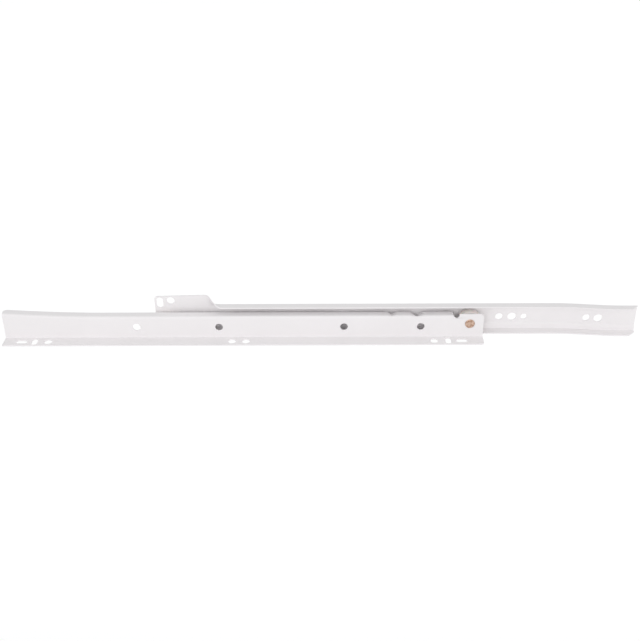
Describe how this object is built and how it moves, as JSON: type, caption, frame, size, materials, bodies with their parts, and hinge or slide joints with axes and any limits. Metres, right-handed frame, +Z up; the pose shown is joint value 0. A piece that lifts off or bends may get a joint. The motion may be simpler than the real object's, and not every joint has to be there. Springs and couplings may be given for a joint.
{
  "type": "cabinet drawer slide",
  "caption": "Side-mounted roller drawer slide: a folded channel for the cabinet wall, a folded profile that carries the drawer, and a nylon roller riveted to each.",
  "frame": {"origin": "centre of the channel's wall face: the middle of its length, halfway up its wall, on the plane that lies on the cabinet side", "axes": "+X along the slide to the back of the cabinet, +Y into the cabinet wall, +Z up; the drawer opens along -X"},
  "size_m": [0.5296, 0.0249, 0.0356],
  "materials": {
    "powder_coated_steel": "satin white powder coat with a fine orange peel",
    "passivated_rivet_steel": "yellow-passivated zinc, copper brown, pressed",
    "zinc_plated_washer_steel": "bright zinc plate",
    "moulded_nylon": "natural white injection-moulded nylon"
  },
  "bodies": {
    "cabinet": {"cabinet_profile": "powder_coated_steel", "front_axle_rivet": "passivated_rivet_steel", "front_washer": "zinc_plated_washer_steel"},
    "drawer": {"drawer_profile": "powder_coated_steel", "rear_axle_rivet": "passivated_rivet_steel", "rear_washer": "zinc_plated_washer_steel"},
    "front_wheel": {"front_roller": "moulded_nylon"},
    "rear_wheel": {"rear_roller": "moulded_nylon"}
  },
  "joints": [
    {"name": "drawer_slide", "type": "slide", "parent": "cabinet", "child": "drawer", "axis": [-1, 0, 0], "range_m": [-0.1256, 0.18]},
    {"name": "front_roller_spin", "type": "hinge", "parent": "cabinet", "child": "front_wheel", "pos_m": [-0.1916, -0.0059, -0.0046], "axis": [0, -1, 0], "continuous": true},
    {"name": "rear_roller_spin", "type": "hinge", "parent": "drawer", "child": "rear_wheel", "pos_m": [0.061, -0.0066, -0.0013], "axis": [0, -1, 0], "continuous": true}
  ],
  "couplings": [
    {"joint": "front_roller_spin", "follows": "drawer_slide", "rad_per_m": 103.09},
    {"joint": "rear_roller_spin", "follows": "drawer_slide", "rad_per_m": 103.09}
  ]
}
